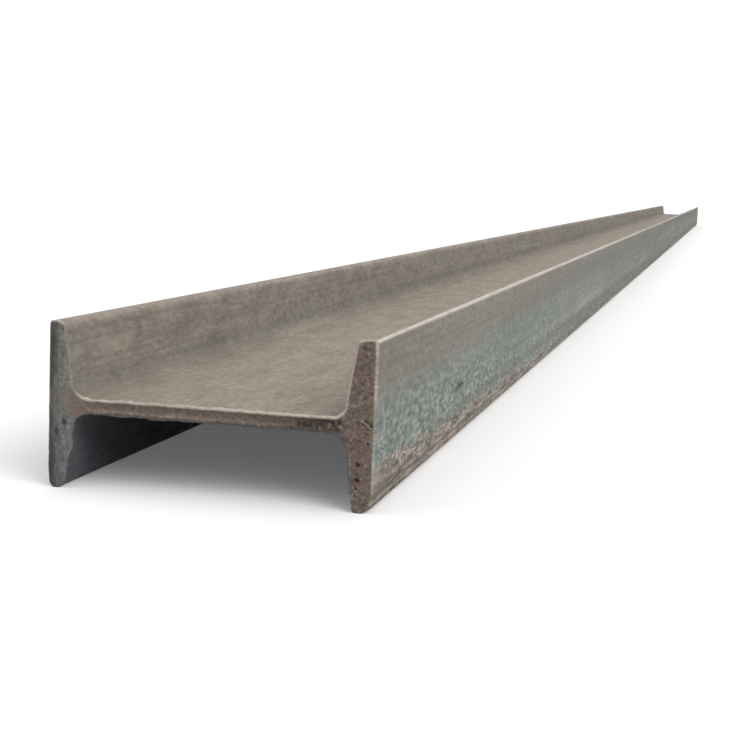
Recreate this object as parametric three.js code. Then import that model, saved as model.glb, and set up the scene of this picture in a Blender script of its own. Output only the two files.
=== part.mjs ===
// Rolled steel I-beam, a plain length of tapered-flange stock lying on its side.
// Millimetres, +Z up. X runs across the depth of the section, Y along the beam.
// The web is level, the flanges stand upright and the beam rests on two flange tips.
// The origin is the middle of the footprint, on the surface that the beam lies on.

import * as THREE from 'three';

// Driving dimensions: a 150 x 75 mm section, rolled with a taper inside the flanges
const beamLength = 6000;
const sectionDepth = 150; // over the outer faces of the flanges
const flangeWidth = 75; // tip to tip
const webThickness = 5.5;
const flangeThickness = 9.5; // half way between the web and a flange tip
const flangeTaper = THREE.MathUtils.degToRad(8); // how far each inner flange face leans
const rootRadius = 9; // fillet between web and flange
const toeRadius = 4.5; // inner edge of a flange tip
const arrisRadius = 1.5; // outer edge of a flange tip, eased by the rolls

// Flat facets that stand for each round stretch of the outline
const rootSegments = 10;
const toeSegments = 8;
const arrisSegments = 4;

// The section is drawn about the middle of the web: x out to a flange, z up to a flange tip
const halfDepth = sectionDepth / 2;
const halfWidth = flangeWidth / 2;
const halfWeb = webThickness / 2;
const slope = Math.tan(flangeTaper);
const gaugeHeight = (halfWidth + halfWeb) / 2; // where the flange thickness is measured

// Depth at which the sloping inner face of a flange stands, at a height above the web's middle
function innerFace(height) {
  return halfDepth - flangeThickness - (gaugeHeight - height) * slope;
}

// Points of an arc, turning counterclockwise where sweep is positive
function arc(centreX, centreZ, radius, start, sweep, segments) {
  const points = [];
  for (let i = 0; i <= segments; i += 1) {
    const angle = start + (sweep * i) / segments;
    points.push(new THREE.Vector2(
      centreX + radius * Math.cos(angle),
      centreZ + radius * Math.sin(angle),
    ));
  }
  return points;
}

// One quarter of the outline, from the web out to the outer face of the flange
function quarterOutline() {
  const lean = Math.cos(flangeTaper);
  const rootZ = halfWeb + rootRadius;
  const rootX = innerFace(rootZ) - rootRadius / lean;
  const toeZ = halfWidth - toeRadius;
  const toeX = innerFace(toeZ) + toeRadius / lean;
  const root = arc(rootX, rootZ, rootRadius, -Math.PI / 2, Math.PI / 2 - flangeTaper, rootSegments);
  const toe = arc(toeX, toeZ, toeRadius, Math.PI - flangeTaper, flangeTaper - Math.PI / 2, toeSegments);
  const arris = arc(
    halfDepth - arrisRadius, halfWidth - arrisRadius, arrisRadius, Math.PI / 2, -Math.PI / 2, arrisSegments,
  );
  return [...root, ...toe, ...arris];
}

// The whole outline, counterclockwise: each quarter mirrors the one before it
function sectionShape() {
  const quarter = quarterOutline();
  const mirrored = (signX, signZ) => quarter.map((p) => new THREE.Vector2(signX * p.x, signZ * p.y));
  const outline = [
    ...mirrored(1, -1),
    ...mirrored(1, 1).reverse(),
    ...mirrored(-1, 1),
    ...mirrored(-1, -1).reverse(),
  ];
  return new THREE.Shape(outline);
}

function makeBeam() {
  const geometry = new THREE.ExtrudeGeometry(sectionShape(), {
    depth: beamLength,
    steps: 1,
    bevelEnabled: false,
  });
  // The outline is drawn in X and Y and extruded along Z: turn it up and centre it along Y
  geometry.rotateX(Math.PI / 2);
  geometry.translate(0, beamLength / 2, halfWidth);
  const millScale = new THREE.MeshStandardMaterial({
    color: 0x7d7a72,
    roughness: 0.62,
    metalness: 0.55,
  });
  const beam = new THREE.Mesh(geometry, millScale);
  beam.name = 'beam';
  return beam;
}

const group = new THREE.Group();
group.add(makeBeam());

export default group;
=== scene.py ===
import math
import random

import bmesh
import bpy
from mathutils import Matrix, Vector, noise
from mathutils.kdtree import KDTree


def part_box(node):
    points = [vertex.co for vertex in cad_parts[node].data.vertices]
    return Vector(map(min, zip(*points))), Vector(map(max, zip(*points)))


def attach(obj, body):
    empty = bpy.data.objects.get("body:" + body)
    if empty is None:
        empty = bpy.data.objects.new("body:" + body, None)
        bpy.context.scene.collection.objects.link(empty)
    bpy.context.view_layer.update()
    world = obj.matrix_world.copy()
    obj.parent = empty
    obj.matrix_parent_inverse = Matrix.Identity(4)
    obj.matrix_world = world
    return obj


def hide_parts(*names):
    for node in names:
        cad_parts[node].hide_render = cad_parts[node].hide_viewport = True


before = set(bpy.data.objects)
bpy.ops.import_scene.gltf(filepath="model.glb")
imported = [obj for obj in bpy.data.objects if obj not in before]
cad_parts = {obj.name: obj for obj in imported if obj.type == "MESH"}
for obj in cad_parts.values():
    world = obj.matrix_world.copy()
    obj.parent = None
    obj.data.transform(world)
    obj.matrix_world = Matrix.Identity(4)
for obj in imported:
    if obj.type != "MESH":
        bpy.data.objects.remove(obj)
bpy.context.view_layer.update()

mm = 0.001
beamLow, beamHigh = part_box("beam")
beamLength = beamHigh.y - beamLow.y
midHeight = (beamLow.z + beamHigh.z) / 2
startY = beamLow.y / mm  # the near sawn end, in millimetres
halfDepth, halfWidth = 75, 37.5  # of the section, in millimetres
nominalArrisMm = 1.5  # radius of the section's outer corners


def linearColour(hexColour):
    values = []
    for i in (1, 3, 5):
        c = int(hexColour[i:i + 2], 16) / 255
        values.append(c / 12.92 if c <= 0.04045 else ((c + 0.055) / 1.055) ** 2.4)
    return (*values, 1.0)


def grey(level):
    return (level, level, level, 1)


# sets or links a node's inputs, given by name or as a list in the order of its sockets; each is a
# number, a colour, a socket or another node
def setInputs(tree, node, inputs):
    for socket, value in inputs.items() if isinstance(inputs, dict) else enumerate(inputs):
        if isinstance(value, bpy.types.Node):
            value = value.outputs[0]
        if isinstance(value, bpy.types.NodeSocket):
            tree.links.new(value, node.inputs[socket])
        elif isinstance(value, str):
            node.inputs[socket].default_value = linearColour(value)
        else:
            node.inputs[socket].default_value = value


# adds a shader node with its inputs, its settings and the stops of its ramp
def addNode(tree, kind, inputs=(), stops=(), **settings):
    made = tree.nodes.new("ShaderNode" + kind)
    for name, value in settings.items():
        setattr(made, name, value)
    for i, (place, hexColour) in enumerate(stops):
        points = made.color_ramp.elements
        point = points[i] if i < 2 else points.new(place)
        point.position = place
        point.color = linearColour(hexColour)
    setInputs(tree, made, inputs)
    return made


def newMaterial(name):
    material = bpy.data.materials.new(name)
    material.use_nodes = True
    tree = material.node_tree
    tree.nodes.clear()
    shader = addNode(tree, "BsdfPrincipled")
    addNode(tree, "OutputMaterial", {"Surface": shader})
    return material, tree, shader


# the place on a piece in millimetres, whole and as its three parts
def placeInMm(tree):
    place = addNode(tree, "TexCoord").outputs["Object"]
    inMm = addNode(tree, "VectorMath", {0: place, "Scale": 1 / mm}, operation="SCALE")
    parts = addNode(tree, "SeparateXYZ", [inMm]).outputs
    return inMm, parts["X"], parts["Y"], parts["Z"]


# how much a layer covers: nothing where its pattern has the value start, its full density at full
def coverOf(tree, pattern, where, start, full, density=1):
    cover = addNode(tree, "MapRange", [pattern, start, full, 0, density])
    if where is None:
        return cover
    return addNode(tree, "Math", [cover, where], operation="MULTIPLY")


# lays one colour over another as far as a layer covers
def layOver(tree, under, pattern, where, top, start, full, density=1):
    cover = coverOf(tree, pattern, where, start, full, density)
    return addNode(tree, "MixRGB", [cover, under, top])


# darkens and lightens a colour by a pattern; span is two values of it and the shade at each
def shadeBy(tree, colour, pattern, span, strength=1):
    shade = addNode(tree, "MapRange", [pattern, *span])
    return addNode(tree, "MixRGB", [strength, colour, shade], blend_type="MULTIPLY")


# the bare burr round a sawn end with a painted highlight where its rim faces up, chipped here and
# there, in one colour below the web and one above
def layBurr(tree, colour, inMm, z, below, above):
    aboveWeb = addNode(tree, "MapRange", [z, 30, 40])  # across the height of the web
    bare = addNode(tree, "MixRGB", [aboveWeb, below, above])
    lip = addNode(tree, "Attribute", attribute_name="lip").outputs["Fac"]
    chips = addNode(tree, "TexNoise", {"Vector": inMm, "Scale": 1 / 1.8, "Detail": 2})
    chipped = addNode(tree, "MapRange", [chips, 0.34, 0.46, 0.55, 1.0])
    lip = addNode(tree, "Math", [lip, chipped], operation="MULTIPLY")
    return addNode(tree, "MixRGB", [lip, colour, bare])


def newObject(name, data):
    made = bpy.data.objects.new(name, data)
    bpy.context.scene.collection.objects.link(made)
    return made


# a finished bmesh as a piece of the scene
def objectFrom(bm, name, materials):
    mesh = bpy.data.meshes.new(name)
    bm.to_mesh(mesh)
    bm.free()
    for material in materials:
        mesh.materials.append(material)
    return newObject(name, mesh)


def smoothStep(low, high, value):
    t = max(0.0, min(1.0, (value - low) / (high - low)))
    return t * t * (3 - 2 * t)


# value at a place on a polyline given as (place, value) pairs
def along(line, place):
    for (a, valueA), (b, valueB) in zip(line, line[1:]):
        if place <= b:
            return valueA + (valueB - valueA) * max(0.0, (place - a) / (b - a))
    return line[-1][1]


# the rolled beam: one closed shell, with both sawn ends
# places on a sawn end are x and z in millimetres from the middle of the section

beamShape = {
    "cellMm": 0.52,  # grid over a sawn end
    # rings of the shell, as distances from each end
    "ringsMm": [0.35, 0.8, 1.4, 2.2, 3.2, 4.5, 7, 11, 18, 30, 50, 80, 120, 170, 230, 310, 410, 530,
                680, 860, 1080, 1340, 1640, 1980, 2340, 2680],
    "lowerCornerMm": 2.4,  # the outer corners it lies on are worn rounder than the upper ones
    # and the flange above them is worn back by so much, up to a height
    "wornRightMm": 3.75,
    "wornLeftMm": 1.6,
    "wornHighMm": 11.0,
    "insetMm": 0.22,  # how far the wavy outer faces lie inside the nominal section
    "waveMm": 0.16,  # height of the rolled waviness
    "waveLongMm": (45, 240),  # and its length across and along the beam
    # the bead round a sawn end and the chamfer of its outer arris, by distance from the end
    "beadMm": [(0, 0.3), (0.35, 0.75), (0.8, 1.05), (1.4, 0.9), (2.2, 0.55), (3.2, 0.2), (4.5, 0)],
    "chamferMm": [(0, 0.75), (0.35, 0.35), (0.8, 0.1), (1.4, 0)],
    "leftBead": 0.4,  # the left flange was cut first and has less of a bead
    # how much thicker the blade's heat and push left each flange, by height, how far back that
    # reaches, and how much of it the far end has
    "upsetRightMm": [(-37.5, 1.7), (-30, 1.5), (-20, 1.1), (-9, 0.9), (-3, 0), (3, 0), (8, 1.4),
                     (12, 1.8), (37.5, 1.9)],
    "upsetLeftMm": [(-37.5, 0), (-28, 0.2), (-20, 0.9), (-12, 0.7), (-3, 0), (3, 0), (37.5, 0)],
    "upsetReach": [(0, 1.0), (1.4, 0.97), (3.2, 0.84), (4.5, 0.7), (7, 0.42), (11, 0.16), (18, 0)],
    "farUpset": 0.4,
    "lipReach": [(0, 1.0), (0.8, 1.0), (1.4, 0.5), (2.2, 0.2), (3.2, 0.0)],  # of the bare lip
    # how bare the right flange's outer arris is by height: bare above, then broken, then smeared
    "arrisBare": [(-36, 0.35), (-27, 0.6), (-23, 1.1), (-13, 1.1), (-9, 0.4), (9, 0.4), (14, 1.0)],
    "rubbedReach": [(0, 0.72), (320, 1.0), (1500, 1.3)],  # width of a rubbed arris along the beam
    "spreadMm": 4.0,  # how far from its rim a sawn end follows the rim
    "sawCentreMm": (350, 750),  # axle of the saw that cut it
    # pits and spots of rust on the near end, as x, z, radius and depth, and as x, z and radius
    "nearPits": [(67.9, -16.5, 1.1, 0.6), (67.5, -23.2, 1.2, 0.75), (67.3, -26.8, 0.8, 0.5),
                 (67.1, -30.0, 0.6, 0.4), (72.0, -6.9, 1.0, 0.35), (-67.5, -7.5, 1.4, 0.3),
                 (-71.0, -12.0, 1.6, 0.25), (-2.0, 0.6, 0.7, 0.25)],
    "nearRust": [(71.6, -4.0, 1.7), (70.6, -1.8, 1.0), (69.4, 25.0, 2.0), (66.9, 24.4, 1.4),
                 (68.9, -15.4, 1.2), (68.6, -22.0, 1.5), (68.1, -25.6, 1.2), (57.0, -0.6, 2.0),
                 (52.0, 0.4, 1.5), (71.8, 9.5, 1.6), (71.4, 0.6, 2.6)],
    # more of them strewn over both ends: how many, their radii and the depth of the pits
    "loosePits": 14,
    "loosePitMm": (0.4, 0.9),
    "loosePitDeepMm": (0.1, 0.35),
    "looseRust": 18,
    "looseRustMm": (0.6, 1.8),
    "burrMm": ((68.4, 2.7), (73.3, -1.2), 9.7),  # ends and radius of a curled burr
    "lapMm": (46, 59),  # from where to where a lap runs along the web
    "stainAndShadowMm": (31, 63),  # and the dark stain round it, partly a painted shadow
    # where the sides and the sawn ends lie on the flat map
    "mapSide": 1024,  # and the rest in parts of that
    "mapNear": [(0, 4), (530, 528)],  # strip for the near sides, by millimetres along the beam
    "mapFar": [(530, 4), (1340, 310), (6000, 1020)],  # and for the far ones, ever coarser
    "mapStrips": (516, 4, 504),  # low edges of the near and the far strip, and their height
    "mapEnds": (536, 516, 3.22, 250),  # left, low, scale per millimetre and step to the far end
    "seed": 7,
    "farSeed": 18,
}


# the end of the CAD beam as one flat face, cut into a fine grid
def griddedEnd(shape):
    bm = bmesh.new()
    bm.from_mesh(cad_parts["beam"].data)
    bmesh.ops.remove_doubles(bm, verts=bm.verts, dist=1e-6)
    rest = [f for f in bm.faces if any(v.co.y > beamLow.y + 1e-5 for v in f.verts)]
    bmesh.ops.delete(bm, geom=rest, context="FACES")
    bmesh.ops.dissolve_faces(bm, faces=bm.faces[:])
    nominal, worn = nominalArrisMm * mm, shape["lowerCornerMm"] * mm
    for v in bm.verts:
        side = 1 if v.co.x > 0 else -1
        across = abs(v.co.x) - (beamHigh.x - nominal)
        if across > -1e-6 and v.co.z < beamLow.z + nominal + 1e-6:
            turn = math.atan2(v.co.z - beamLow.z - nominal, across)
            v.co.x = side * (beamHigh.x - worn + worn * math.cos(turn))
            v.co.z = beamLow.z + worn + worn * math.sin(turn)
    cell = shape["cellMm"] * mm
    for axis in (0, 2):
        normal = Vector((0, 0, 0))
        normal[axis] = 1
        cuts = int((beamHigh[axis] - beamLow[axis]) / cell)
        for i in range(1, cuts):
            place = normal * (beamLow[axis] + i * (beamHigh[axis] - beamLow[axis]) / cuts)
            geometry = bm.verts[:] + bm.edges[:] + bm.faces[:]
            bmesh.ops.bisect_plane(bm, geom=geometry, dist=1e-7, plane_co=place, plane_no=normal)
    for v in bm.verts:
        deep = shape["wornRightMm"] if v.co.x > 0 else -shape["wornLeftMm"]
        sunk = max(0.0, min(1.0, 1 - (v.co.z - beamLow.z) / mm / shape["wornHighMm"]))
        outwards = max(0.0, abs(v.co.x) / mm - 66) / 9  # from the toe out to the face
        v.co.x -= deep * mm * (1 - math.sqrt(1 - sunk * sunk)) * outwards
    bmesh.ops.remove_doubles(bm, verts=bm.verts, dist=0.08 * mm)
    return bm


# how far round the section each spot of the rim lies, from the middle of the web's underside
def measureRim(rim, around):
    edge = min(rim, key=lambda e: abs(e.verts[0].co.x) + e.verts[0].co.z)
    v, distance = edge.verts[0], 0.0
    touching = {}
    for e in rim:
        for end in e.verts:
            touching.setdefault(end, []).append(e)
    for _ in rim:
        v[around] = distance
        distance += edge.calc_length()
        v = edge.other_vert(v)
        edge = next(e for e in touching[v] if e is not edge)
    return distance


# a number of its own for each edge or face, from its first three points
def orderOf(part, count):
    points = sorted(v.index for v in part.verts)[:3]
    return sum(point * count ** i for i, point in enumerate(points))


# the open tube drawn out ring by ring from the near end, then closed with a copy of that end
def drawnShell(shape):
    bm = griddedEnd(shape)
    around = bm.verts.layers.float.new("around")
    girth = measureRim([e for e in bm.edges if e.is_boundary], around)
    nearFaces = bm.faces[:]
    nearRings = [r * mm for r in shape["ringsMm"]]
    farRings = [beamLength - r for r in reversed(nearRings)]
    copied = bmesh.ops.duplicate(bm, geom=nearFaces)["geom"]
    farFaces = [g for g in copied if isinstance(g, bmesh.types.BMFace)]
    farVerts = [g for g in copied if isinstance(g, bmesh.types.BMVert)]
    bmesh.ops.translate(bm, verts=farVerts, vec=(0, beamLength, 0))
    bmesh.ops.reverse_faces(bm, faces=farFaces)
    nearSet = set(nearFaces)
    rim = [e for e in bm.edges if e.is_boundary and e.link_faces[0] in nearSet]
    last = 0.0
    for place in nearRings + [beamLength / 2] + farRings + [beamLength]:
        made = bmesh.ops.extrude_edge_only(bm, edges=rim)["geom"]
        ringVerts = [g for g in made if isinstance(g, bmesh.types.BMVert)]
        bmesh.ops.translate(bm, verts=ringVerts, vec=(0, place - last, 0))
        ringSet = set(ringVerts)
        rim = [g for g in made if isinstance(g, bmesh.types.BMEdge) and ringSet.issuperset(g.verts)]
        last = place
    bmesh.ops.remove_doubles(bm, verts=ringVerts + farVerts, dist=0.01 * mm)
    bmesh.ops.recalc_face_normals(bm, faces=bm.faces[:])
    # extruding leaves edges and faces in no fixed order, so they are put in that of their points
    bm.verts.index_update()
    count = len(bm.verts)
    for parts in (bm.edges, bm.faces):
        parts.sort(key=lambda part: orderOf(part, count))
    return bm, girth


# how far a normal points out of the section sideways, from -1 to 1
def outwardOf(normal, x):
    return normal.x * (1 if x > 0 else -1)


# how far a rim spot of a sawn end moves out (a burr) or in (a worn arris), in millimetres
def rimShift(shape, x, z, normal, fromEnd, seed):
    facing = outwardOf(normal, x)
    tip = smoothStep(29, 34, abs(z))  # where a flange ends
    spot = Vector((x, seed * 3.1, z))
    rough = 0.85 + 0.5 * noise.noise(spot / 7) + 0.4 * noise.noise(spot / 2.2)
    if facing > 0.25:  # the outer face
        return -along(shape["chamferMm"], fromEnd) * facing * (0.7 + 0.5 * rough)
    bead = along(shape["beadMm"], fromEnd) * rough
    inner = smoothStep(0.1, 0.9, -facing)  # the face inside a flange
    bead *= 1 - 0.65 * tip * (1 - inner)
    if x < 0:
        bead *= 1 - inner * (1 - shape["leftBead"])
    # the lower edges are torn where the blade left the steel
    low = smoothStep(11, 16, -z) * (1 - smoothStep(33.5, 36.5, -z)) * inner
    reach = 1 - smoothStep(1.0, 4.2, fromEnd)
    if x > 0:
        pitch = 2.4 + smoothStep(18, 26, -z)  # of the teeth, wider lower down
        turn = 2 * math.pi * z / pitch + 2 * noise.noise(spot / 5)
        torn = math.sin(turn) + 0.8 * noise.noise(spot / 1.6)
        return bead + low * reach * (0.15 - 0.011 * z) * torn
    return bead + low * reach * 1.3 * noise.noise(Vector((seed, 0, z)) / 4.5)


# how far a spot near a sawn end is pushed towards the trough by the thickening of its flange
def upsetShift(shape, x, z, fromEnd):
    table = shape["upsetRightMm"] if x > 0 else shape["upsetLeftMm"]
    grown = along(table, z) * along(shape["upsetReach"], fromEnd)
    return -math.copysign(grown * smoothStep(75.5, 65.5, abs(x)), x)


# how bare and pale a rim spot is, from 0 to 1: bare metal with a painted highlight, and painted
# shade where the rim faces down, lies below the web or on the left flange
def lipShade(shape, x, z, normal):
    facing = outwardOf(normal, x)
    if facing > 0.6 and x > 0:
        spot = Vector((x, 0, z))
        broken = 0.65 + 0.6 * noise.noise(spot / 5) + 0.7 * noise.noise(spot / 1.3)
        return broken * along(shape["arrisBare"], z)
    # painted shade: the outer rim of the left flange stays dark
    if facing > 0.6:
        return 0.06
    # painted shade: rims that face down, or lie below the web, stay dark
    if normal.z < -0.3 or z < 0:
        return 0.1
    if x > 0:
        return 1 - 0.1 * smoothStep(0.5, 0.95, -facing)
    # painted shade dulls the inside of the left flange, and the lip is broken along the web
    spot = Vector((x, 3, z))
    broken = 0.85 + 0.4 * noise.noise(spot / 5) + 0.5 * noise.noise(spot / 1.6)
    broken = min(1.0, broken + 0.4 * smoothStep(0.05, 0.3, -facing))
    return (1 - 0.88 * smoothStep(0.3, 0.9, -facing)) * broken


# a lap along the near cut of the web and the dark stain round it, partly a painted shadow, each
# from 0 to 1
def rolledLap(shape, x, z, spot):
    low, high = shape["lapMm"]
    centre = 0.9 + 0.7 * math.sin((x - low) / 3.4) + 0.4 * noise.noise(spot / 2)
    lap = smoothStep(low, low + 4, x) * (1 - smoothStep(high - 3, high, x))
    lap *= 1 - smoothStep(0.25, 0.95, abs(z - centre))
    low, high = shape["stainAndShadowMm"]
    stainAndShadow = smoothStep(low, low + 14, x) * (1 - smoothStep(high - 5, high + 2, x))
    stainAndShadow *= (1 - smoothStep(4, 8, abs(z))) * (0.85 + 0.4 * noise.noise(spot / 2.5))
    return lap, stainAndShadow


# a curled burr that stands up beside the groove that threw it, each from 0 to 1
def curledBurr(shape, x, z):
    (ax, az), (bx, bz), radius = shape["burrMm"]
    span = math.hypot(bx - ax, bz - az)
    part = ((x - ax) * (bx - ax) + (z - az) * (bz - az)) / span ** 2
    sag = math.sqrt(radius ** 2 - span ** 2 / 4)
    bowX = (ax + bx) / 2 + sag * (bz - az) / span
    bowZ = (az + bz) / 2 - sag * (bx - ax) / span
    bend = math.hypot(x - bowX, z - bowZ) - radius
    inside = smoothStep(-0.05, 0.15, part) * (1 - smoothStep(0.85, 1.05, part))
    curl = inside * (1 - smoothStep(0.1, 0.55, abs(bend)))
    outside = 1 - smoothStep(0.2, 0.8, abs(bend - 1.0))
    under = 1 - smoothStep(0.2, 0.7, abs(bend + 0.9))
    return curl, inside * max(outside, 0.6 * under)


# depth of a sawn end below its highest point in millimetres, how dark its hollows are painted as
# shade, and how rusty and bare it is
def sawnSpot(shape, x, z, pits, rusts, near, seed):
    spot = Vector((x, seed, z))
    depth = 0.22 + 0.12 * noise.noise(spot / 17) + 0.07 * noise.noise(spot / 5)
    # saw marks, long arcs about the axle of the blade
    centreX, centreZ = shape["sawCentreMm"]
    away = math.hypot(x - centreX, z - centreZ)
    sweep = math.atan2(x - centreX, centreZ - z) * away
    depth += 0.09 * noise.noise(Vector((away / 1.4, sweep / 13, seed)))
    # the lower part of the left flange is torn rather than sawn
    torn = smoothStep(-59, -64, x) * smoothStep(-2, -8, z) if x < 0 else 0.0
    depth += torn * 0.22 * (0.6 + noise.noise(Vector((x / 1.2, seed, z / 5))))
    hollowShade, rust, bare = 0.0, 0.0, 0.0
    for pitX, pitZ, radius, pitDepth in pits:
        close = math.hypot(x - pitX, z - pitZ) / radius
        if close < 1.4:
            depth += pitDepth * max(0.0, 1 - close * close) ** 2
            hollowShade = max(hollowShade, min(1.0, pitDepth * 1.6) * (1 - smoothStep(0.45, 1.3, close)))
    for rustX, rustZ, radius in rusts:
        close = math.hypot(x - rustX, z - rustZ + 0.6 * noise.noise(spot / 1.5)) / radius
        rust = max(rust, 1 - smoothStep(0.3, 1.1, close))
    if near:
        lap, stainAndShadow = rolledLap(shape, x, z, spot)
        depth += 0.6 * lap
        hollowShade = max(hollowShade, 0.75 * lap, 0.57 * stainAndShadow)
        curl, groove = curledBurr(shape, x, z)
        groove *= 0.8 + 0.6 * noise.noise(spot / 1.4)
        depth += 0.35 * groove - 0.25 * curl
        hollowShade = max(hollowShade * (1 - curl), 0.7 * groove)
        bare = 0.42 * curl * (0.8 + 0.7 * noise.noise(spot / 0.9))
    return max(0.0, depth), hollowShade, rust, bare


# shapes both sawn ends, and writes into attributes how bare and rusty each spot is and the painted
# shade of its hollows
def finishEnds(bm, shape):
    layers = bm.verts.layers.float
    lip, hollowShade, rust = layers.new("lip"), layers.new("hollowShade"), layers.new("rust")
    bm.normal_update()
    step = 1e-6
    settled, reach = shape["beadMm"][-1][0], shape["upsetReach"][-1][0]
    for near, endY, inward in ((True, beamLow.y, 1), (False, beamHigh.y, -1)):
        seed = shape["seed"] if near else shape["farSeed"]
        rng = random.Random(seed)
        onEnd = [v for v in bm.verts if abs(v.co.y - endY) < step]
        rim = [v for v in onEnd
               if any(abs(e.other_vert(v).co.y - endY) > step for e in v.link_edges)]
        tree = KDTree(len(rim))
        for i, v in enumerate(rim):
            tree.insert(Vector((v.co.x, 0, v.co.z)), i)
        tree.balance()
        places = [(v.co.x / mm, (v.co.z - midHeight) / mm) for v in onEnd]
        pits = list(shape["nearPits"]) if near else []
        rusts = list(shape["nearRust"]) if near else []
        for _ in range(shape["loosePits"]):
            spot = rng.choice(places)
            radius = rng.uniform(*shape["loosePitMm"])
            pits.append((*spot, radius, rng.uniform(*shape["loosePitDeepMm"])))
        for _ in range(shape["looseRust"]):
            rusts.append((*rng.choice(places), rng.uniform(*shape["looseRustMm"])))
        normals = [Vector((v.normal.x, 0, v.normal.z)).normalized() for v in rim]
        rimPlaces = [(v.co.x / mm, (v.co.z - midHeight) / mm) for v in rim]
        shifts = [rimShift(shape, *p, n, 0, seed) for p, n in zip(rimPlaces, normals)]
        shades = [lipShade(shape, *p, n) for p, n in zip(rimPlaces, normals)]
        rimDepths = [sawnSpot(shape, *p, pits, rusts, near, seed)[0] for p in rimPlaces]
        upset = 1.0 if near else shape["farUpset"]
        moves = {}
        for v, (x, z) in zip(onEnd, places):
            _, i, away = tree.find(Vector((v.co.x, 0, v.co.z)))
            away /= mm
            follow = max(0.0, 1 - away / shape["spreadMm"])
            slide = normals[i] * shifts[i] * follow * follow
            slide.x += upset * upsetShift(shape, x, z, 0)
            depth, v[hollowShade], v[rust], bare = sawnSpot(shape, x + slide.x, z + slide.z,
                                                       pits, rusts, near, seed)
            moves[v] = slide + Vector((0, depth * inward, 0))
            v[lip] = max(bare, shades[i] * (1 - smoothStep(0.1, 0.9, away)))
        for v in bm.verts:
            fromEnd = (v.co.y - endY) * inward / mm
            if 1e-3 < fromEnd <= reach + 1e-3:
                _, i, _ = tree.find(Vector((v.co.x, 0, v.co.z)))
                shift = rimShift(shape, *rimPlaces[i], normals[i], fromEnd, seed)
                settle = rimDepths[i] * max(0.0, 1 - fromEnd / settled) * inward
                moves[v] = normals[i] * shift + Vector((0, settle, 0))
                moves[v].x += upset * upsetShift(shape, *rimPlaces[i], fromEnd)
                v[lip] = shades[i] * along(shape["lipReach"], fromEnd)
        for v, move in moves.items():
            v.co += move * mm


# long, low waves that the rolls leave, with the outer faces a little inside the nominal box
def rollWaves(bm, shape):
    arris = bm.verts.layers.float.new("arris")
    bm.normal_update()
    waveAcross, waveAlong = shape["waveLongMm"]
    for v in bm.verts:
        x, z = v.co.x / mm, (v.co.z - midHeight) / mm
        fromEnd = min(v.co.y - beamLow.y, beamHigh.y - v.co.y) / mm
        corner = math.hypot(abs(x) - halfDepth, abs(z) - halfWidth)
        reach = along(shape["rubbedReach"], fromEnd)
        rubbedAndLit = 1 - smoothStep(0.9 * reach, 2.2 * reach, corner)
        v[arris] = rubbedAndLit * smoothStep(0.2, 1.5, fromEnd)
        normal = Vector((v.normal.x, 0, v.normal.z))
        if fromEnd < 4.6 or normal.length < 0.1:  # the bead and the sawn end are left as they are
            continue
        normal.normalize()
        spot = Vector((x / waveAcross, v.co.y / mm / waveAlong, z / waveAcross))
        wave = shape["waveMm"] * (noise.noise(spot) + 0.5 * noise.noise(spot * 2.7))
        outer = smoothStep(0.6, 1.0, abs(normal.x)) * smoothStep(73, 74.5, abs(x))
        tip = smoothStep(33, 37, abs(z))
        shift = wave * (1 - tip) - shape["insetMm"] * outer
        v.co += normal * shift * mm * smoothStep(4.5, 30, fromEnd)
    for v in bm.verts:
        for axis in range(3):
            v.co[axis] = min(max(v.co[axis], beamLow[axis]), beamHigh[axis])


# a flat map of the shell with the sides unrolled and both sawn ends large, so that a picture made
# through it keeps their grain
def layOut(bm, shape, girth):
    around = bm.verts.layers.float["around"]
    uv = bm.loops.layers.uv.new("OFBake")
    nearLow, farLow, high = shape["mapStrips"]
    endLeft, endLow, endScale, endStep = shape["mapEnds"]
    side = shape["mapSide"]
    for face in bm.faces:
        near = face.calc_center_median().y / mm - startY < shape["mapNear"][1][0]
        turns = [v[around] for v in face.verts]
        acrossSeam = max(turns) - min(turns) > girth / 2
        for loop in face.loops:
            x, y, z = (loop.vert.co - beamLow) / mm
            if face.material_index == 1:
                right = endLeft + x * endScale
                up = endLow + z * endScale + (0 if near else endStep)
            else:
                turn = loop.vert[around]
                if acrossSeam and turn < girth / 2:
                    turn += girth
                right = along(shape["mapNear" if near else "mapFar"], y)
                up = (nearLow if near else farLow) + high * turn / girth
            loop[uv].uv = (right / side, up / side)


def makeBeam(shape, materials):
    bm, girth = drawnShell(shape)
    for face in bm.faces:
        face.smooth = True
        ys = [v.co.y for v in face.verts]
        face.material_index = 1 if max(ys) - min(ys) < 1e-6 else 0
    finishEnds(bm, shape)
    rollWaves(bm, shape)
    layOut(bm, shape, girth)
    beam = objectFrom(bm, "rolled_beam", materials)
    triangles = sum(len(p.vertices) - 2 for p in beam.data.polygons)
    print("rolled beam:", len(beam.data.vertices), "points,", triangles, "triangles")
    return beam


# mill scale: the oxide skin of hot-rolled steel, dull grey-green under a brown haze, with flash
# rust low down; it scatters light like a matt stone, so it is not metallic

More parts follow.
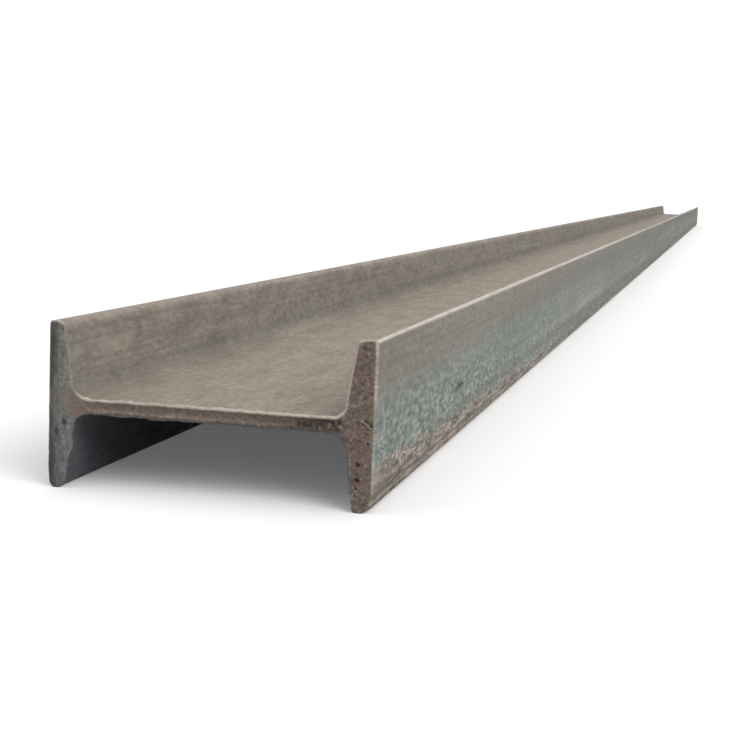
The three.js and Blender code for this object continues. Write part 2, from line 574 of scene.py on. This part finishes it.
millScale = {
    # patterns: size of the grain in millimetres, how much it is squeezed along the beam (the less,
    # the longer it is drawn out), detail and roughness
    "patterns": {
        "slow": (30, 0.3, 3, 0.5),  # bends the edges of the bands
        "quick": (4, 0.3, 2, 0.5),  # frays them, and the edges of pits, dents and arrises
        "clouds": (60, 0.3, 5, 0.5),
        "streaks": (1.5, 0.004, 3, 0.5),  # drawn out by the rolls
        "haze": (75, 0.13, 4, 0.6),
        "broad": (8, 0.006, 3, 0.6),  # broad streaks where the haze lies
        "flecks": (2.7, 0.36, 2.5, 0.5),  # of lifted scale
        "chips": (3.1, 0.42, 4, 0.6),
        "rust": (3.8, 0.15, 5, 0.62),
        "orange": (7, 0.15, 4, 0.6),  # fresher rust
        "flakes": (2.2, 0.3, 2, 0.5),  # pale spots at the edge of the rust
        "lines": (2.4, 0.0015, 2, 0.5),
        "blotches": (13, 0.3, 7, 0.62),  # of dried water, on and between the flanges
    },
    "grainMm": 0.9,
    "pitMm": (17, 0.16),  # size and squeeze of the cells that hold a pit each
    "emptyCells": 0.72,  # and the share of them that hold none
    "runMm": (9, 0.2),  # size of the runs of water and their squeeze down the flange

    # colours from the lower edge of a flange to the upper one, and how far the bands wander with
    # the slow and the quick pattern
    "bands": [(0.0, "#7B7166"), (0.14, "#90887D"), (0.19, "#8B857B"), (0.26, "#828984"),
              (0.6, "#7D847D"), (0.7, "#827F77"), (0.78, "#827B71"), (0.93, "#837D73"),
              (1.0, "#8C857A")],
    "bandWanderMm": (16, 9),
    # the same further along, where the bands have run into grey streaks
    "farBands": [(0.0, "#62635F"), (0.24, "#7B7C76"), (0.36, "#92948D"), (0.43, "#878983"),
                 (0.63, "#868882"), (0.7, "#7A7974"), (0.84, "#7B7973"), (1.0, "#88857D")],
    "farWanderMm": 6,
    # how thick the flecks of lifted scale lie, from the lower edge to the upper one
    "fleckBands": [(0.0, "#C0C0C0"), (0.15, "#E8E8E8"), (0.24, "#ECECEC"), (0.45, "#D0D0D0"),
                   (0.64, "#909090"), (0.72, "#505050"), (1.0, "#505050")],
    "darkFlecks": [(0.0, "#5F5147"), (0.21, "#5C5048"), (0.28, "#4C534D"), (0.6, "#515852"),
                   (1.0, "#5E5A53")],
    "paleFlecks": [(0.0, "#AB9D8E"), (0.21, "#B8AB9C"), (0.28, "#B4B8AE"), (0.6, "#AFB4AA"),
                   (1.0, "#A9A298")],
    "inside": [(0.34, "#776F65"), (0.5, "#857E74"), (0.66, "#918A7F")],
    # painted shade under the web, dark and bluish
    "shadeUnderWeb": [(0.38, "#3F4857"), (0.5, "#505663"), (0.62, "#5C6158")],
    "dust": [(0.3, "#8C7F72"), (0.5, "#978A7D"), (0.7, "#A39587")],
    "haze": "#706E68",
    "chip": "#49504B",
    "pit": "#3F4541",
    # darker in the corners above the web
    "cornerDark": "#68625A",
    # rubbed arrises, with a painted highlight on the upper ones
    "bareAndLitAbove": "#CFC7BE",
    "lip": "#BBAEA2",
    "bareBelow": "#A3AA9C",

    # how a layer covers what is under it: the value of its pattern where it starts and where it is
    # full, and how dense it is there
    "hazeCover": (0.38, 0.57, 0.85),
    "darkCover": (0.55, 0.63, 0.9),
    "paleCover": (0.47, 0.38, 0.8),
    "chipCover": (0, 0.03, 0.75),
    "pitCover": (0.17, 0.12, 0.85),
    "dentCover": (2.0, 1.2, 0.85),
    "cornerCover": (64, 73, 0.55),
    "dustCover": (0.45, 0.95, 0.85),
    "shadeUnderWebCover": (37, 35, 0.75),
    # the same, with the colour of the layer before it
    "rustLight": ("#B1A49C", 0.53, 0.61, 0.95),
    "rustDark": ("#544841", 0.47, 0.39, 0.95),
    "rustOrange": ("#94694F", 0.57, 0.67, 0.45),
    "palePatch": ("#D8CBBE", 0.6, 0.67, 0.85),
    "tide": ("#6C6C64", 3.5, 1.5, 0.5),
    "lineDark": ("#635A50", 0.46, 0.38, 0.7),
    "linePale": ("#9A9A8C", 0.55, 0.62, 0.6),
    "run": ("#5C615D", 0.64, 0.76, 0.5),

    # from where to where along the beam something comes in or dies away, from the sawn end
    "dropMm": (0, 950),  # the low bands drop away
    "dropByMm": 13,
    "farMm": (650, 1250),  # the far bands take over
    "hazeMm": (400, 2400),
    "fleckMm": (0, 500),  # the flecks thin out
    "brushedMm": (5, 40),  # the rust is thinner just behind the cut
    "tideMm": (90, 230),
    "tideHighMm": 19,  # height of the dark line on top of the rust
    # side, distance from the sawn end, height, half length and half height in millimetres
    "dents": [(1, 215, 30, 28, 1.7), (1, 1460, 52, 26, 1.4), (-1, 780, 44, 22, 1.8),
              (-1, 3350, 25, 30, 2.2), (1, 4180, 33, 24, 2.0)],
    "dentDeepMm": 8,  # "dentDeepMm": 8, how far into the steel a dent's dark mark reaches
    "roughness": 0.72,
    "reliefMm": 0.1,
}


# distances from the near sawn end as places along the beam
def fromStart(span):
    return [startY + distance for distance in span]


def makeMillScale(look):
    material, tree, shader = newMaterial("mill_scale")
    inMm, x, y, z = placeInMm(tree)
    patterns = {}
    for name, (size, squeeze, detail, roughness) in look["patterns"].items():
        drawn = addNode(tree, "Mapping", {"Vector": inMm, "Scale": (1, squeeze, 1)})
        patterns[name] = addNode(tree, "TexNoise",
                                 {"Vector": drawn, "Scale": 1 / size, "Detail": detail,
                                  "Roughness": roughness})
    slow, quick, flecks = patterns["slow"], patterns["quick"], patterns["flecks"]

    # bands up the flange, with edges that wander by a few millimetres; the low ones drop away from
    # the end
    slowWander, quickWander = look["bandWanderMm"]
    bent = addNode(tree, "Math", [slow, slowWander, z], operation="MULTIPLY_ADD")
    bent = addNode(tree, "Math", [quick, quickWander, bent], operation="MULTIPLY_ADD")
    drop = addNode(tree, "MapRange", [y, *fromStart(look["dropMm"]), 0, look["dropByMm"]])
    dropHere = addNode(tree, "MapRange", [z, 42, 24])
    bent = addNode(tree, "Math", [drop, dropHere, bent], operation="MULTIPLY_ADD")
    lift = (slowWander + quickWander) / 2
    upFlange = addNode(tree, "MapRange", [bent, lift, lift + 2 * halfWidth])
    nearBands = addNode(tree, "ValToRGB", [upFlange], stops=look["bands"])
    farWander = look["farWanderMm"]
    level = addNode(tree, "Math", [slow, farWander, z], operation="MULTIPLY_ADD")
    level = addNode(tree, "MapRange", [level, farWander / 2, farWander / 2 + 2 * halfWidth])
    farBands = addNode(tree, "ValToRGB", [level], stops=look["farBands"])
    farther = addNode(tree, "Math", [slow, 500, y], operation="MULTIPLY_ADD")
    farther = addNode(tree, "MapRange", [farther, *fromStart(look["farMm"])])
    colour = addNode(tree, "MixRGB", [farther, nearBands, farBands])

    # clouds a hand wide, and streaks that the rolls draw out along the length
    cloudShade = addNode(tree, "MapRange", [patterns["clouds"], 0.3, 0.7, 0.88, 1.06])
    streakShade = addNode(tree, "MapRange", [patterns["streaks"], 0.3, 0.7, 0.87, 1.08])
    shade = addNode(tree, "Math", [cloudShade, streakShade], operation="MULTIPLY")
    colour = addNode(tree, "MixRGB", [1, colour, shade], blend_type="MULTIPLY")

    # a grey haze in patches half a metre long, past the first metre; it thickens further along,
    # partly as painted shade
    hazeHere = addNode(tree, "MapRange", [y, *fromStart(look["hazeMm"])])
    haze = coverOf(tree, patterns["haze"], hazeHere, *look["hazeCover"])
    colour = addNode(tree, "MixRGB", [haze, colour, look["haze"]])
    colour = shadeBy(tree, colour, patterns["broad"], (0.35, 0.65, 0.76, 1.1), hazeHere)

    # flecks of lifted scale, 3 mm high and drawn out along the length, thicker near the sawn end
    fleckBand = addNode(tree, "ValToRGB", [upFlange], stops=look["fleckBands"])
    nearEnd = addNode(tree, "MapRange", [y, *fromStart(look["fleckMm"]), 1.0, 0.5])
    patchy = addNode(tree, "MapRange", [slow, 0.35, 0.6, 0.5, 1.0])
    amount = addNode(tree, "Math", [nearEnd, patchy], operation="MULTIPLY")
    amount = addNode(tree, "Math", [amount, fleckBand], operation="MULTIPLY")
    for tone in ("dark", "pale"):
        tint = addNode(tree, "ValToRGB", [upFlange], stops=look[tone + "Flecks"])
        colour = layOver(tree, colour, flecks, amount, tint, *look[tone + "Cover"])

    # chips 3 mm across where the scale has come off whole, thick in the lower half near the end
    chipBand = addNode(tree, "MapRange", [upFlange, 0.72, 0.3])
    chipCut = addNode(tree, "Math", [chipBand, -0.12, 0.7], operation="MULTIPLY_ADD")
    chip = addNode(tree, "Math", [patterns["chips"], chipCut], operation="SUBTRACT")
    chip = coverOf(tree, chip, nearEnd, *look["chipCover"])
    colour = addNode(tree, "MixRGB", [chip, colour, look["chip"]])

    # flash rust along the lower edge, where water hung, with pale spots where scale has come off
    low = addNode(tree, "MapRange", [upFlange, 0.28, 0.18])
    fade = addNode(tree, "Math", [farther, -0.55, 1], operation="MULTIPLY_ADD")
    low = addNode(tree, "Math", [low, fade], operation="MULTIPLY")
    brushed = addNode(tree, "MapRange", [y, *fromStart(look["brushedMm"]), 0.5])
    low = addNode(tree, "Math", [low, brushed], operation="MULTIPLY")
    for layer, name in (("rustLight", "rust"), ("rustDark", "rust"), ("rustOrange", "orange")):
        colour = layOver(tree, colour, patterns[name], low, *look[layer])
    edge = addNode(tree, "Math", [upFlange, 0.22], operation="SUBTRACT")
    edge = addNode(tree, "Math", [edge], operation="ABSOLUTE")
    edge = addNode(tree, "MapRange", [edge, 0.09, 0.03])
    colour = layOver(tree, colour, patterns["flakes"], edge, *look["palePatch"])

    # a dark tide line along the top of the rust
    tide = addNode(tree, "Math", [quick, 3, z], operation="MULTIPLY_ADD")
    tide = addNode(tree, "Math", [tide, look["tideHighMm"]], operation="SUBTRACT")
    tide = addNode(tree, "Math", [tide], operation="ABSOLUTE")
    tideHere = addNode(tree, "MapRange", [y, *fromStart(look["tideMm"])])
    colour = layOver(tree, colour, tide, tideHere, *look["tide"])

    # thin lines along the lowest part of the flange, left by the rolls
    lineHere = addNode(tree, "MapRange", [z, 14, 9])
    for layer in ("lineDark", "linePale"):
        colour = layOver(tree, colour, patterns["lines"], lineHere, *look[layer])

    # pits rolled out to 3 mm by 20 mm, and dark runs of water down the flange
    pitSize, squeeze = look["pitMm"]
    pitPlace = addNode(tree, "Mapping", {"Vector": inMm, "Scale": (1, squeeze, 1)})
    pits = addNode(tree, "TexVoronoi", {"Vector": pitPlace, "Scale": 1 / pitSize}).outputs
    pitPick = addNode(tree, "SeparateXYZ", [pits["Color"]])
    pitHere = addNode(tree, "Math", [pitPick, look["emptyCells"]], operation="GREATER_THAN")
    pit = addNode(tree, "Math", [quick, 0.12, pits["Distance"]], operation="MULTIPLY_ADD")
    pit = coverOf(tree, pit, pitHere, *look["pitCover"])
    colour = addNode(tree, "MixRGB", [pit, colour, look["pit"]])
    runSize, squeeze = look["runMm"]
    runPlace = addNode(tree, "Mapping", {"Vector": inMm, "Scale": (squeeze, 1, squeeze)})
    runs = addNode(tree, "TexNoise", {"Vector": runPlace, "Scale": 1 / runSize, "Detail": 4})
    colour = layOver(tree, colour, runs, None, *look["run"])

    # dents on the outer faces, painted as dark marks
    for side, fromEnd, height, halfLength, halfHeight in look["dents"]:
        dent = addNode(tree, "Mapping",
                       {"Vector": inMm, "Location": (side * halfDepth, startY + fromEnd, height),
                        "Scale": (look["dentDeepMm"], halfLength, halfHeight)},
                       vector_type="TEXTURE")
        dent = addNode(tree, "VectorMath", [dent], operation="LENGTH").outputs["Value"]
        dent = addNode(tree, "Math", [quick, 1.6, dent], operation="MULTIPLY_ADD")
        colour = layOver(tree, colour, dent, None, look["pit"], *look["dentCover"])

    # between the flanges the oxide is browner, and it is darker in the corners above the web
    fromMiddle = addNode(tree, "Math", [x], operation="ABSOLUTE")
    tip = addNode(tree, "MapRange", [z, 9, 0, 0, 3.6])  # the worn tips lean in
    fromMiddle = addNode(tree, "Math", [fromMiddle, tip], operation="ADD")
    facingIn = addNode(tree, "MapRange", [fromMiddle, 73.5, 71.5])
    inside = addNode(tree, "Math", [facingIn, 0.85], operation="MULTIPLY")
    brown = addNode(tree, "ValToRGB", [patterns["blotches"]], stops=look["inside"])
    brown = addNode(tree, "MixRGB", [1, brown, shade], blend_type="MULTIPLY")
    specks = addNode(tree, "MapRange", [flecks, 0.3, 0.7, 1.18, 0.82])
    brown = addNode(tree, "MixRGB", [1, brown, specks], blend_type="MULTIPLY")
    colour = addNode(tree, "MixRGB", [inside, colour, brown])
    corner = addNode(tree, "Math", [slow, 22, fromMiddle], operation="MULTIPLY_ADD")
    nearWeb = addNode(tree, "MapRange", [z, 53, 44])
    corner = coverOf(tree, corner, nearWeb, *look["cornerCover"])
    corner = addNode(tree, "Math", [corner, facingIn], operation="MULTIPLY")

    # tan dust that settles where the steel faces up, blown thin here and there and blotched by
    # dried water
    facing = addNode(tree, "NewGeometry").outputs["Normal"]
    facing = addNode(tree, "SeparateXYZ", [facing]).outputs["Z"]
    dust = addNode(tree, "ValToRGB", [patterns["blotches"]], stops=look["dust"])
    dust = addNode(tree, "MixRGB", [0.5, dust, specks], blend_type="MULTIPLY")
    dust = addNode(tree, "MixRGB", [0.6, dust, streakShade], blend_type="MULTIPLY")
    thin = addNode(tree, "MapRange", [haze, 0, 0.8, 1.0, 0.55])
    colour = layOver(tree, colour, facing, thin, dust, *look["dustCover"])
    colour = addNode(tree, "MixRGB", [corner, colour, look["cornerDark"]])

    # painted shade under the web: the scale there is painted dark and bluish
    shadeUnderWeb = addNode(tree, "ValToRGB", [patterns["blotches"]], stops=look["shadeUnderWeb"])
    colour = layOver(tree, colour, z, facingIn, shadeUnderWeb, *look["shadeUnderWebCover"])

    # arrises rubbed pale, with a painted highlight that makes the upper ones palest, and the bare
    # burr round a sawn end with a painted highlight
    arris = addNode(tree, "Attribute", attribute_name="arris").outputs["Fac"]
    rubbedAndLit = addNode(tree, "MapRange", [quick, 0.35, 0.5, 0.7, 1.0])
    upper = addNode(tree, "MapRange", [z, 30, 55])
    for factor in (arris, thin, upper):
        rubbedAndLit = addNode(tree, "Math", [rubbedAndLit, factor], operation="MULTIPLY")
    colour = addNode(tree, "MixRGB", [rubbedAndLit, colour, look["bareAndLitAbove"]])
    colour = layBurr(tree, colour, inMm, z, look["bareBelow"], look["lip"])

    # relief: a sandy grain with flecks and streaks, and the pits and chips sunk into it
    relief = addNode(tree, "TexNoise", {"Vector": inMm, "Scale": 1 / look["grainMm"], "Detail": 2})
    for part, height in ((flecks, 1.2), (patterns["streaks"], 0.6), (pit, -3), (chip, -1.2)):
        relief = addNode(tree, "Math", [part, height, relief], operation="MULTIPLY_ADD")
    bump = addNode(tree, "Bump", {"Height": relief, "Distance": look["reliefMm"] * mm})
    gloss = addNode(tree, "MapRange",
                    [flecks, 0.35, 0.65, look["roughness"] - 0.1, look["roughness"] + 0.12])
    setInputs(tree, shader, {"Base Color": colour, "Normal": bump, "Roughness": gloss,
                             "Specular IOR Level": 0.3})
    return material


# sawn steel: a brown bloom of rust over saw marks, which hides nearly all of the metal's shine

sawnSteel = {
    "mottle": [(0.3, "#483C36"), (0.43, "#60544D"), (0.55, "#72655E"), (0.68, "#8E8077")],
    "mottleMm": 1.9,  # size of the grain of the rust
    "cloudMm": 7,
    "tearMm": (2, 0.22),  # size of the tears and their squeeze up the flange
    "pinkMm": 1.5,  # small pale spots
    "markMm": (1.6, 12),  # width and length of a saw mark
    # shade up the cut of the web: paler along its lower edge, and painted shade under the upper one
    "webShade": [(0.0, "#959595"), (0.09, "#DCDCDC"), (0.18, "#FFFFFF"), (0.3, "#E6E6E6"),
                 (0.45, "#CECECE"), (0.7, "#C2C2C2"), (0.86, "#999999"), (1.0, "#B1B1B1")],
    "webBloom": "#665A52",
    "rootBloom": "#7A6D64",
    "greyAbove": "#6C6C66",
    "greyBelow": "#616566",
    "rust": "#6A4A3C",
    # the burr above the web, with a painted highlight
    "bareAndLitAbove": "#BDB0A4",
    "bareBelow": "#9C9A8E",
    # colour of a layer, the value of its pattern where it starts and where it is full, and how
    # dense it is there
    "mauve": ("#6F5A55", 0.5, 0.6, 0.5),
    "olive": ("#645C4E", 0.47, 0.38, 0.4),
    "pink": ("#9A857B", 0.68, 0.78, 0.7),
    # a painted shadow along the left flange's outer edge
    "edgeShadow": ("#282F34", -68.2, -72, 0.85),
    # painted shade in the pits, the lap and the groove by the burr
    "pit": ("#2C1F19", -0.42, 0.1, 0.95),
    "roughness": 0.7,
    "reliefMm": 0.3,
}


def makeSawnSteel(look, shape):
    material, tree, shader = newMaterial("sawn_steel")
    inMm, x, _, z = placeInMm(tree)
    mottle = addNode(tree, "TexNoise", {"Vector": inMm, "Scale": 1 / look["mottleMm"],
                                        "Detail": 3, "Roughness": 0.6})
    colour = addNode(tree, "ValToRGB", [mottle], stops=look["mottle"])

    # clouds of mauve and olive, 6 to 12 mm across
    clouds = addNode(tree, "TexNoise", {"Vector": inMm, "Scale": 1 / look["cloudMm"], "Detail": 3})
    rightward = addNode(tree, "MapRange", [x, -40, 0, 0.2, 1])
    colour = layOver(tree, colour, clouds, rightward, *look["mauve"])
    colour = layOver(tree, colour, clouds, None, *look["olive"])

    # the rust is evener along the web, and paler where the web meets the left flange
    leftRoot = addNode(tree, "MapRange", [x, -48, -60])
    bloom = addNode(tree, "MixRGB", [leftRoot, look["webBloom"], look["rootBloom"]])
    even = addNode(tree, "MapRange", [x, 55, 40, 0, 0.45])
    even = addNode(tree, "Math", [leftRoot, 0.25, even], operation="MULTIPLY_ADD")
    colour = addNode(tree, "MixRGB", [even, colour, bloom])

    # the left flange is greyer, and bluish below the web
    wander = addNode(tree, "Math", [clouds, 10, x], operation="MULTIPLY_ADD")
    webLevel = addNode(tree, "Math", [z, midHeight / mm + 2.5], operation="SUBTRACT")
    webLevel = addNode(tree, "Math", [webLevel], operation="ABSOLUTE")
    webLevel = addNode(tree, "MapRange", [webLevel, 10, 4, 0, 5.5])  # it gives way by the web
    wander = addNode(tree, "Math", [wander, webLevel], operation="ADD")
    left = coverOf(tree, wander, None, -52, -60, 0.85)
    height = addNode(tree, "Math", [clouds, 14, z], operation="MULTIPLY_ADD")
    above = addNode(tree, "MapRange", [height, 38, 46])
    cool = addNode(tree, "MixRGB", [above, look["greyBelow"], look["greyAbove"]])
    cool = shadeBy(tree, cool, mottle, (0.3, 0.7, 0.74, 1.22))
    tearSize, squeeze = look["tearMm"]
    tearPlace = addNode(tree, "Mapping", {"Vector": inMm, "Scale": (1, 1, squeeze)})
    tears = addNode(tree, "TexNoise", {"Vector": tearPlace, "Scale": 1 / tearSize,
                                       "Detail": 3, "Roughness": 0.6})
    cool = shadeBy(tree, cool, tears, (0.35, 0.65, 0.62, 1.3))
    # painted shadow, darker towards the outer edge of the left flange
    cool = shadeBy(tree, cool, x, (-73, -64, 0.86, 1.46))
    colour = addNode(tree, "MixRGB", [left, colour, cool])
    # painted shadow along the outer edge of that flange, dark and bluish
    edgeShadowed = addNode(tree, "Math", [tears, 4, x], operation="MULTIPLY_ADD")
    edgeShadowed = addNode(tree, "Math", [webLevel, 0.4, edgeShadowed], operation="MULTIPLY_ADD")
    colour = layOver(tree, colour, edgeShadowed, None, *look["edgeShadow"])

    # the cut of the web is shaded from edge to edge and from root to root, with painted shade under
    # its upper edge and, partly, towards the right root
    webShade = addNode(tree, "Math", [mottle, 1.2, z], operation="MULTIPLY_ADD")
    webShade = addNode(tree, "MapRange", [webShade, 35.4, 41.1])
    webShade = addNode(tree, "ValToRGB", [webShade], stops=look["webShade"])
    rootShade = addNode(tree, "MapRange", [x, 0, 54, 1.68, 0.95])
    webShade = addNode(tree, "Math", [webShade, rootShade], operation="MULTIPLY")
    onWeb = addNode(tree, "Math", [x], operation="ABSOLUTE")
    onWeb = addNode(tree, "MapRange", [onWeb, 58, 52])
    colour = addNode(tree, "MixRGB", [onWeb, colour, webShade], blend_type="MULTIPLY")

    # saw marks, broken arcs about the axle of the blade
    centreX, centreZ = shape["sawCentreMm"]
    axle = (centreX, 0, centreZ + midHeight / mm)
    fromAxle = addNode(tree, "VectorMath", [inMm, axle], operation="SUBTRACT")
    flat = addNode(tree, "VectorMath", [fromAxle, (1, 0, 1)], operation="MULTIPLY")
    away = addNode(tree, "VectorMath", [flat], operation="LENGTH").outputs["Value"]
    parts = addNode(tree, "SeparateXYZ", [flat]).outputs
    turned = addNode(tree, "Math", [parts["X"], parts["Z"]], operation="ARCTAN2")
    sweep = addNode(tree, "Math", [turned, away], operation="MULTIPLY")
    sawPlace = addNode(tree, "CombineXYZ", [away, sweep])
    markWide, markLong = look["markMm"]
    sawPlace = addNode(tree, "Mapping",
                       {"Vector": sawPlace, "Scale": (1 / markWide, 1 / markLong, 1)})
    marks = addNode(tree, "TexNoise", {"Vector": sawPlace, "Scale": 1, "Detail": 3})
    colour = shadeBy(tree, colour, marks, (0.3, 0.7, 0.88, 1.12))

    # spots of fresh rust, painted shade in the pits, the lap and the groove by the burr, and the
    # bare burr round the rim with a painted highlight
    rustSpot = addNode(tree, "Attribute", attribute_name="rust").outputs["Fac"]
    rust = addNode(tree, "Math", [mottle, 2.2, rustSpot], operation="MULTIPLY_ADD")
    warm = addNode(tree, "Math", [left, -0.8, 1], operation="MULTIPLY_ADD")
    rust = coverOf(tree, rust, warm, 1.4, 2.1, 0.65)
    rust = addNode(tree, "Math", [rust, rightward], operation="MULTIPLY")
    colour = addNode(tree, "MixRGB", [rust, colour, look["rust"]])
    pink = addNode(tree, "TexNoise", {"Vector": inMm, "Scale": 1 / look["pinkMm"], "Detail": 1})
    pink = addNode(tree, "Math", [rustSpot, 0.12, pink], operation="MULTIPLY_ADD")
    colour = layOver(tree, colour, pink, rightward, *look["pink"])
    hollowShade = addNode(tree, "Attribute", attribute_name="hollowShade").outputs["Fac"]
    hollowShade = addNode(tree, "Math", [mottle, -1.2, hollowShade], operation="MULTIPLY_ADD")
    colour = layOver(tree, colour, hollowShade, None, *look["pit"])
    colour = layBurr(tree, colour, inMm, z, look["bareBelow"], look["bareAndLitAbove"])

    relief = addNode(tree, "Math", [marks, 0.8, mottle], operation="MULTIPLY_ADD")
    bump = addNode(tree, "Bump", {"Height": relief, "Distance": look["reliefMm"] * mm})
    setInputs(tree, shader, {"Base Color": colour, "Normal": bump, "Roughness": look["roughness"],
                             "Metallic": 0.15, "Specular IOR Level": 0.35})
    return material


beam = makeBeam(beamShape, [makeMillScale(millScale), makeSawnSteel(sawnSteel, beamShape)])
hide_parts("beam")
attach(beam, "root")
print("beam placed")


# floor and light
studio = {
    "floorSize": 400.0,
    "floorSeen": "#FBFBFB",  # to the camera and in reflections
    "floorBounce": "#A09E9B",  # what the floor throws back on the steel
    "floorGlow": 0.1,  # lifts the deepest shadow on the floor
    "skyLight": 0.78,
    "sunFrom": (0.63, -0.52, 0.58),
    "sunStrength": 1.5,
    "sunAngle": 40,
}


# one colour to the camera and in reflections, another for the light that bounces
def seenOrBounced(tree, seen, bounced):
    rays = addNode(tree, "LightPath").outputs
    direct = rays["Is Camera Ray"]
    for ray in ("Is Glossy Ray", "Is Transmission Ray"):
        direct = addNode(tree, "Math", [direct, rays[ray]], operation="MAXIMUM")
    return addNode(tree, "MixRGB", [direct, bounced, seen])


def makeStudio(look):
    material, tree, shader = newMaterial("pale_floor")
    shade = seenOrBounced(tree, look["floorSeen"], look["floorBounce"])
    glow = seenOrBounced(tree, grey(look["floorGlow"]), grey(0))
    setInputs(tree, shader, {"Base Color": shade, "Emission Color": glow, "Emission Strength": 1.0,
                             "Roughness": 0.9, "Specular IOR Level": 0.0})
    bm = bmesh.new()
    bmesh.ops.create_grid(bm, x_segments=1, y_segments=1, size=look["floorSize"] / 2)
    floor = objectFrom(bm, "floor", [material])

    world = bpy.data.worlds.new("studio")
    bpy.context.scene.world = world
    world.use_nodes = True
    tree = world.node_tree
    tree.nodes.clear()
    shade = seenOrBounced(tree, grey(1), grey(look["skyLight"]))
    background = addNode(tree, "Background", {"Color": shade})
    addNode(tree, "OutputWorld", {"Surface": background})

    light = bpy.data.lights.new("sun", "SUN")
    light.energy = look["sunStrength"]
    light.angle = math.radians(look["sunAngle"])
    sun = newObject("sun", light)
    sun.rotation_euler = (-Vector(look["sunFrom"])).to_track_quat("-Z", "Y").to_euler()
    print("studio lit")


makeStudio(studio)


view = {
    "eye": (0.2171, -3.6392, 0.1432),
    "forward": (-0.21685, 0.96811, -0.12542),
    "rollDegrees": 2.253,
    "lensMm": 74.8,
}


def makeCamera(look):
    data = bpy.data.cameras.new("camera")
    data.lens = look["lensMm"]
    data.clip_start = 0.01
    data.clip_end = 500
    level = Vector(look["forward"]).normalized().to_track_quat("-Z", "Y").to_matrix().to_4x4()
    roll = Matrix.Rotation(math.radians(look["rollDegrees"]), 4, "Z")
    camera = newObject("camera", data)
    camera.matrix_world = Matrix.Translation(look["eye"]) @ level @ roll
    bpy.context.scene.camera = camera


makeCamera(view)
bpy.context.scene.view_settings.view_transform = "Standard"
